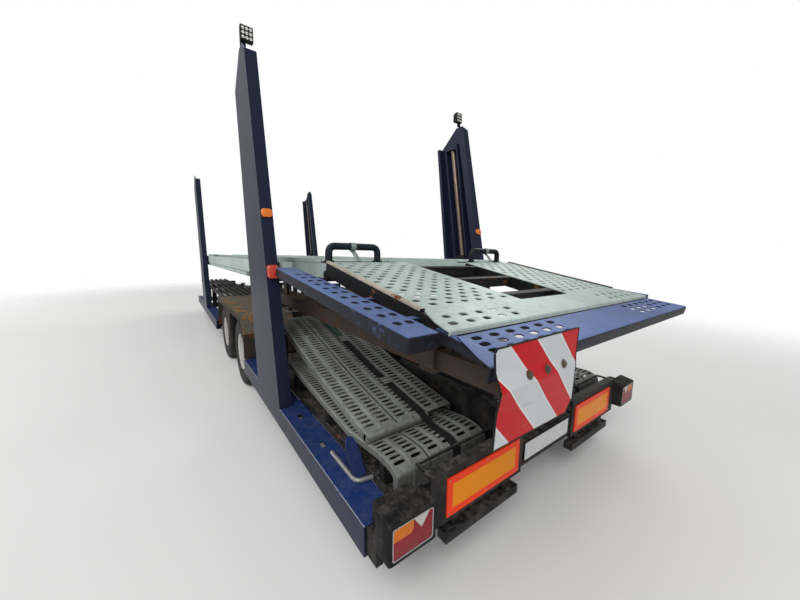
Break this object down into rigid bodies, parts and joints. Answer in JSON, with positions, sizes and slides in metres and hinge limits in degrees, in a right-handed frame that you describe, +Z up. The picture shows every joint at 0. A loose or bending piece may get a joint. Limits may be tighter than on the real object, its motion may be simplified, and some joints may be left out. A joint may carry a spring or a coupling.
{
  "type": "car transporter trailer",
  "caption": "Two-deck car carrying trailer with leaning posts, a lifting upper deck, a hinged rear tail, stowed ramps, tandem twin wheels and a drawbar.",
  "frame": {"origin": "on the ground, under the middle of the whole length and width", "axes": "+X forward towards the drawbar, +Y to the left, +Z up"},
  "size_m": [10.901, 2.54, 3.35],
  "materials": {
    "frame_black": "worn black chassis paint with dirt and rust",
    "rail_blue": "dark blue gloss paint, scratched",
    "deck_blue": "worn blue paint",
    "galvanised": "galvanised steel, pale green-grey",
    "ramp_grey": "dull grey metal, dusty",
    "rusty_brown": "rusty brown primer",
    "guard_olive": "rusty olive steel",
    "tyre_rubber": "black rubber",
    "rim_white": "white painted steel",
    "rubber": "black rubber",
    "strap_web": "black and teal webbing",
    "hydraulic_black": "black cylinder paint, oily",
    "spindle_steel": "greased steel screw",
    "marker_orange": "orange reflective sheet with a red border",
    "plate_white": "blank white plate",
    "stripe_panel": "red and white reflective stripes",
    "lamp_black": "black plastic",
    "lens_red": "red lens with amber and white fields",
    "marker_lens": "red and amber marker lenses",
    "work_lamp": "black housing with a pale lens"
  },
  "bodies": {
    "root": {"main_beams": "frame_black", "cross_members": "frame_black", "left_side_rails": "rail_blue", "right_side_rails": "rail_blue", "drawbar": "frame_black", "landing_leg": "galvanised", "axles": "frame_black", "suspension_arms": "frame_black", "air_springs": "rubber", "left_mudguard": "guard_olive", "right_mudguard": "guard_olive", "lower_tracks": "frame_black", "ramp_troughs": "frame_black", "left_ramps": "ramp_grey", "right_ramps": "ramp_grey", "ramp_straps": "strap_web", "ramp_catches": "rail_blue", "ramp_cylinders": "hydraulic_black", "rear_bumper": "frame_black", "marker_plates": "marker_orange", "number_plate": "plate_white", "tail_lamp_boxes": "lamp_black", "tail_lenses": "lens_red", "left_rear_post": "rail_blue", "right_rear_post": "rail_blue", "left_front_post": "rail_blue", "right_front_post": "rail_blue", "lift_spindles": "spindle_steel", "work_lamps": "work_lamp", "post_lamps": "marker_lens"},
    "upper_deck": {"upper_deck_beams": "galvanised", "upper_deck_cross_members": "frame_black", "lift_carriages": "frame_black", "upper_tracks": "galvanised", "deck_side_tubes": "galvanised", "tail_support_beams": "rusty_brown", "wheel_stop_hoops": "frame_black", "striped_panel": "stripe_panel", "panel_brackets": "rusty_brown"},
    "tail": {"tail_frame": "frame_black", "tail_tracks": "galvanised", "tail_cross_plate": "galvanised", "tail_rear_plate": "deck_blue", "tail_walkways": "deck_blue"},
    "left_rear_wheel": {"left_rear_tyres": "tyre_rubber", "left_rear_rims": "rim_white"},
    "right_rear_wheel": {"right_rear_tyres": "tyre_rubber", "right_rear_rims": "rim_white"},
    "left_front_wheel": {"left_front_tyres": "tyre_rubber", "left_front_rims": "rim_white"},
    "right_front_wheel": {"right_front_tyres": "tyre_rubber", "right_front_rims": "rim_white"}
  },
  "joints": [
    {"name": "deck_lift", "type": "slide", "parent": "root", "child": "upper_deck", "axis": [0.1772, 0, 0.9842], "range_m": [0, 1.34]},
    {"name": "tail_tilt", "type": "hinge", "parent": "upper_deck", "child": "tail", "pos_m": [-3.935, 0, 1.425], "axis": [0, 1, 0], "range_deg": [0, 14]},
    {"name": "left_rear_wheel_spin", "type": "hinge", "parent": "root", "child": "left_rear_wheel", "pos_m": [-1.87, 0, 0.395], "axis": [0, 1, 0], "continuous": true},
    {"name": "right_rear_wheel_spin", "type": "hinge", "parent": "root", "child": "right_rear_wheel", "pos_m": [-1.87, 0, 0.395], "axis": [0, 1, 0], "continuous": true},
    {"name": "left_front_wheel_spin", "type": "hinge", "parent": "root", "child": "left_front_wheel", "pos_m": [-0.67, 0, 0.395], "axis": [0, 1, 0], "continuous": true},
    {"name": "right_front_wheel_spin", "type": "hinge", "parent": "root", "child": "right_front_wheel", "pos_m": [-0.67, 0, 0.395], "axis": [0, 1, 0], "continuous": true}
  ]
}
